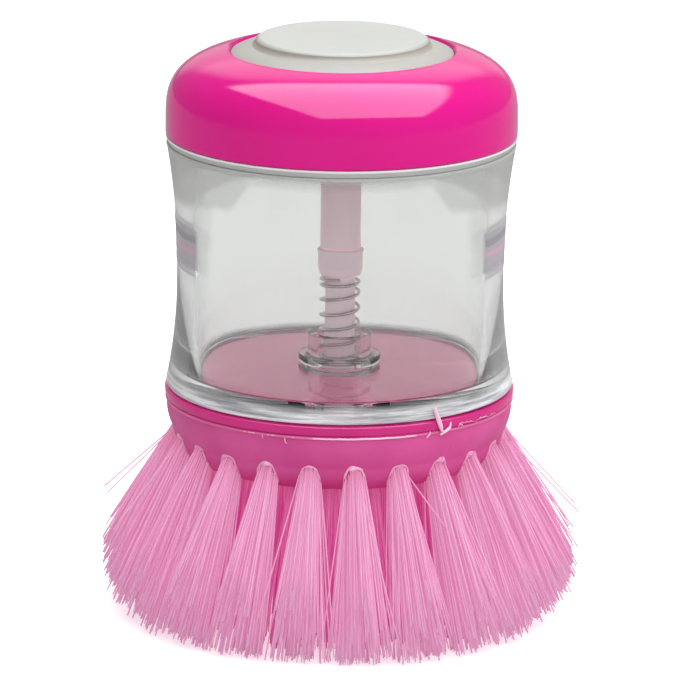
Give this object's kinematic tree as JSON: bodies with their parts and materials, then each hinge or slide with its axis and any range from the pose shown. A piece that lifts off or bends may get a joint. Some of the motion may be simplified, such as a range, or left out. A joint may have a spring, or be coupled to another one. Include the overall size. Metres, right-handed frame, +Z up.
{
  "type": "soap dispensing dish brush",
  "caption": "Palm-held dish brush with a clear soap reservoir, screw cap, sprung push button and a ring of pink bristles.",
  "frame": {"origin": "on the brush's axis in the plane of the bristle tips", "axes": "+Z up along the axis to the push button, -Y to the pictured front"},
  "size_m": [0.0748, 0.0748, 0.0887],
  "materials": {
    "button_white": "satin off-white moulded plastic",
    "membrane_white": "soft matt off-white elastomer",
    "cap_magenta": "glossy magenta moulded plastic",
    "gasket_pale": "pale soft sealing ring",
    "reservoir_clear": "clear glossy moulded plastic",
    "seat_clear": "slightly milky clear plastic",
    "stem_plastic": "translucent off-white plastic",
    "rod_plastic": "translucent off-white plastic",
    "seal_rubber": "dark sealing rubber",
    "outlet_rubber": "dark sealing rubber",
    "spring_steel": "bright drawn steel wire",
    "band_magenta": "glossy dark magenta plastic",
    "base_pink": "satin pink moulded plastic",
    "bristle_nylon": "fine pink nylon filament"
  },
  "bodies": {
    "reservoir": {"reservoir": "reservoir_clear", "valve_seat": "seat_clear", "return_spring": "spring_steel", "outlet_gasket": "outlet_rubber", "base_collar": "band_magenta", "brush_base": "base_pink", "outer_tuft_01": "bristle_nylon", "outer_tuft_02": "bristle_nylon", "outer_tuft_03": "bristle_nylon", "outer_tuft_04": "bristle_nylon", "outer_tuft_05": "bristle_nylon", "outer_tuft_06": "bristle_nylon", "outer_tuft_07": "bristle_nylon", "outer_tuft_08": "bristle_nylon", "outer_tuft_09": "bristle_nylon", "outer_tuft_10": "bristle_nylon", "outer_tuft_11": "bristle_nylon", "outer_tuft_12": "bristle_nylon", "outer_tuft_13": "bristle_nylon", "outer_tuft_14": "bristle_nylon", "outer_tuft_15": "bristle_nylon", "outer_tuft_16": "bristle_nylon", "outer_tuft_17": "bristle_nylon", "outer_tuft_18": "bristle_nylon", "outer_tuft_19": "bristle_nylon", "outer_tuft_20": "bristle_nylon", "outer_tuft_21": "bristle_nylon", "outer_tuft_22": "bristle_nylon", "outer_tuft_23": "bristle_nylon", "inner_tuft_pair_01": "bristle_nylon", "inner_tuft_pair_02": "bristle_nylon", "inner_tuft_pair_03": "bristle_nylon", "inner_tuft_pair_04": "bristle_nylon", "inner_tuft_pair_05": "bristle_nylon", "inner_tuft_pair_06": "bristle_nylon", "inner_tuft_pair_07": "bristle_nylon", "inner_tuft_pair_08": "bristle_nylon", "inner_tuft_pair_09": "bristle_nylon", "inner_tuft_pair_10": "bristle_nylon", "inner_tuft_pair_11": "bristle_nylon", "inner_tuft_pair_12": "bristle_nylon", "inner_tuft_pair_13": "bristle_nylon", "inner_tuft_pair_14": "bristle_nylon", "inner_tuft_pair_15": "bristle_nylon", "inner_tuft_pair_16": "bristle_nylon", "inner_tuft_pair_17": "bristle_nylon", "inner_tuft_pair_18": "bristle_nylon", "inner_tuft_pair_19": "bristle_nylon", "inner_tuft_pair_20": "bristle_nylon", "inner_tuft_pair_21": "bristle_nylon", "inner_tuft_pair_22": "bristle_nylon", "inner_tuft_pair_23": "bristle_nylon"},
    "gasket": {"cap_gasket": "gasket_pale"},
    "cap": {"cap_shell": "cap_magenta", "button_membrane": "membrane_white"},
    "button": {"push_button": "button_white", "button_stem": "stem_plastic"},
    "valve": {"valve_stem": "rod_plastic", "valve_seal": "seal_rubber"}
  },
  "joints": [
    {"name": "cap_lift", "type": "slide", "parent": "reservoir", "child": "gasket", "axis": [0, 0, 1], "range_m": [0, 0.005]},
    {"name": "cap_unscrew", "type": "hinge", "parent": "gasket", "child": "cap", "pos_m": [0, 0, 0.0737], "axis": [0, 0, 1], "range_deg": [0, 450]},
    {"name": "button_press", "type": "slide", "parent": "cap", "child": "button", "axis": [0, 0, -1], "range_m": [0, 0.003]},
    {"name": "valve_open", "type": "slide", "parent": "reservoir", "child": "valve", "axis": [0, 0, -1], "range_m": [0, 0.003], "stiffness_N_per_m": 400, "springref_m": -0.004, "deforming": ["return_spring"]}
  ],
  "couplings": [
    {"joint": "cap_lift", "follows": "cap_unscrew", "m_per_rad": 0.0006366},
    {"joint": "valve_open", "follows": "button_press", "ratio": 1}
  ]
}
